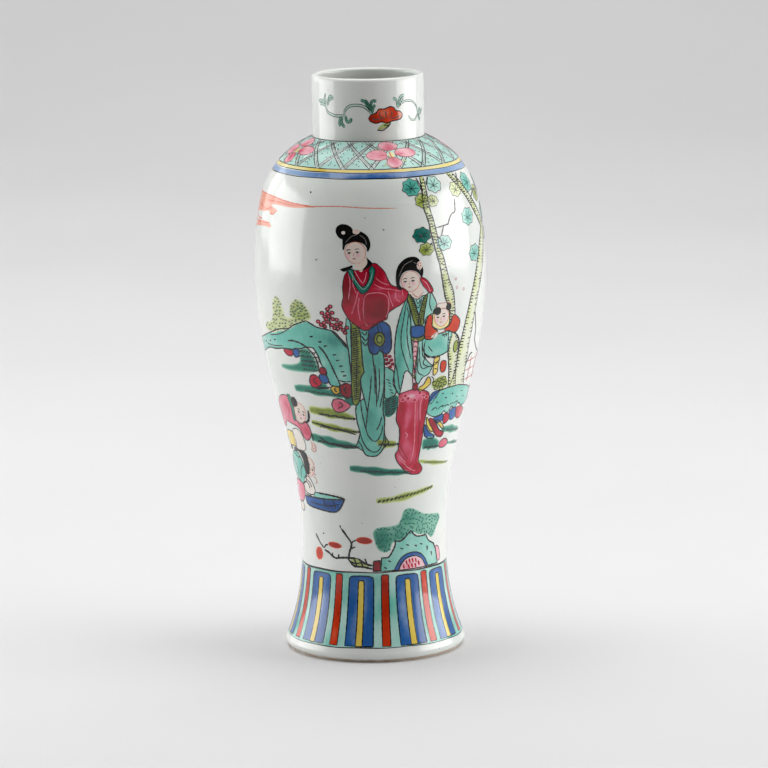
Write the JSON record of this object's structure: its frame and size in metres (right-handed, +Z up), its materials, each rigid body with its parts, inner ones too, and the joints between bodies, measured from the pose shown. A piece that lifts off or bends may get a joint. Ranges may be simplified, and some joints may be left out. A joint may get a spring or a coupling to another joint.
{
  "type": "porcelain vase",
  "caption": "Slender baluster porcelain vase with a flared foot, an upright cylindrical neck and a painted garden scene; it holds flowers or stands as an ornament.",
  "frame": {"origin": "centre of the bare foot rim, on the plane that the vase stands on", "axes": "+Z up along the axis of revolution, from the foot to the lip; -Y is the front, the side with the two ladies"},
  "size_m": [0.1196, 0.1196, 0.3],
  "materials": {
    "bare_porcelain": "matte",
    "luting_slip": "matte",
    "white_glaze": "gloss",
    "turquoise_enamel": "gloss",
    "deep_green_enamel": "gloss",
    "leaf_green_enamel": "gloss",
    "rose_enamel": "gloss",
    "pink_enamel": "gloss",
    "blue_enamel": "gloss",
    "yellow_enamel": "gloss",
    "iron_red_enamel": "gloss",
    "flesh_enamel": "gloss",
    "black_enamel": "gloss"
  },
  "bodies": {
    "root": {"foot_section": "bare_porcelain", "base_disc": "bare_porcelain", "lower_body_section": "bare_porcelain", "upper_body_section": "bare_porcelain", "neck_section": "bare_porcelain", "lute_disc": "luting_slip", "lute_waist": "luting_slip", "lute_belly": "luting_slip", "lute_neck": "luting_slip", "glaze_coat": "white_glaze", "glaze_underside": "white_glaze"}
  },
  "joints": []
}
